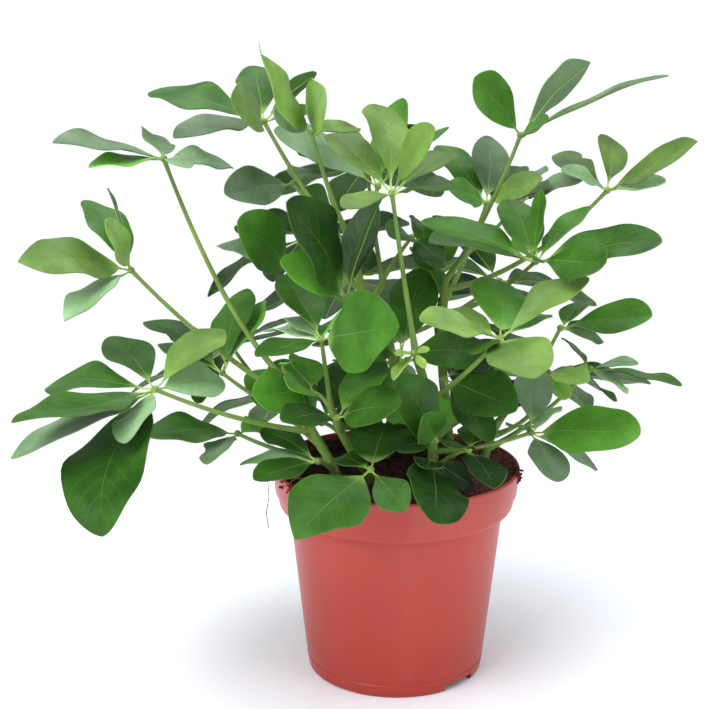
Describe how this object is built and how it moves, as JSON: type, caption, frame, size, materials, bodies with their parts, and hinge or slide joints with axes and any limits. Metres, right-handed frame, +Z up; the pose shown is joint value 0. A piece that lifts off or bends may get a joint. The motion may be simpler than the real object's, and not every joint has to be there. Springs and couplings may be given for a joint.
{
  "type": "potted umbrella plant",
  "caption": "Dwarf umbrella plant in a round tapered nursery pot: leafy canes carrying hand-shaped compound leaves, standing in peat.",
  "frame": {"origin": "centre of the pot's flat base, on the surface that the pot stands on", "axes": "+Z up; -Y towards the side that the picture shows; +X to its right"},
  "size_m": [0.2988, 0.2535, 0.2991],
  "materials": {
    "cane_bark": "green young bark, browner towards the soil, with faint leaf scars",
    "leaf_mature": "waxy dark green leaf with a grey-green sheen, paler midrib and underside",
    "leaf_young": "waxy leaf, yellow-green, translucent looking, paler midrib",
    "pot_plastic": "satin terracotta-coloured polypropylene, with a faint flow sheen",
    "peat_soil": "dark damp peat with reddish fibres and fine pale grit"
  },
  "bodies": {
    "root": {"cane_back": "cane_bark", "cane_inner": "cane_bark", "cane_left": "cane_bark", "cane_low": "cane_bark", "cane_right": "cane_bark", "cane_shoot": "cane_bark", "cane_tall": "cane_bark", "frond_back_right_in": "leaf_mature", "frond_back_right_out": "leaf_mature", "frond_centre_back": "leaf_mature", "frond_centre_back_up": "leaf_mature", "frond_centre_dark": "leaf_mature", "frond_centre_left": "leaf_mature", "frond_centre_low": "leaf_mature", "frond_centre_right": "leaf_mature", "frond_far_back_high": "leaf_mature", "frond_far_back_low": "leaf_mature", "frond_far_back_mid": "leaf_mature", "frond_far_left_high": "leaf_mature", "frond_far_left_low": "leaf_mature", "frond_far_left_rim": "leaf_mature", "frond_far_right_low": "leaf_mature", "frond_far_right_mid": "leaf_mature", "frond_front_low": "leaf_mature", "frond_front_right": "leaf_mature", "frond_heart_front": "leaf_mature", "frond_heart_high": "leaf_mature", "frond_heart_left": "leaf_mature", "frond_heart_mid": "leaf_mature", "frond_heart_right": "leaf_mature", "frond_left_centre": "leaf_mature", "frond_left_high": "leaf_mature", "frond_left_in": "leaf_mature", "frond_left_inner": "leaf_mature", "frond_left_low": "leaf_mature", "frond_left_mid": "leaf_mature", "frond_left_under": "leaf_mature", "frond_low_left_centre": "leaf_mature", "frond_mid_left": "leaf_mature", "frond_pot_left": "leaf_mature", "frond_right_back_low": "leaf_young", "frond_right_bottom": "leaf_mature", "frond_right_high": "leaf_mature", "frond_right_low": "leaf_mature", "frond_right_mid": "leaf_mature", "frond_right_out": "leaf_mature", "frond_rim_right": "leaf_mature", "frond_shoot_young": "leaf_young", "frond_top_behind": "leaf_mature", "frond_top_centre": "leaf_young", "frond_top_left": "leaf_mature", "frond_top_mid": "leaf_young", "frond_top_right": "leaf_mature", "frond_upper_left_in": "leaf_mature", "pot": "pot_plastic", "soil": "peat_soil"}
  },
  "joints": []
}
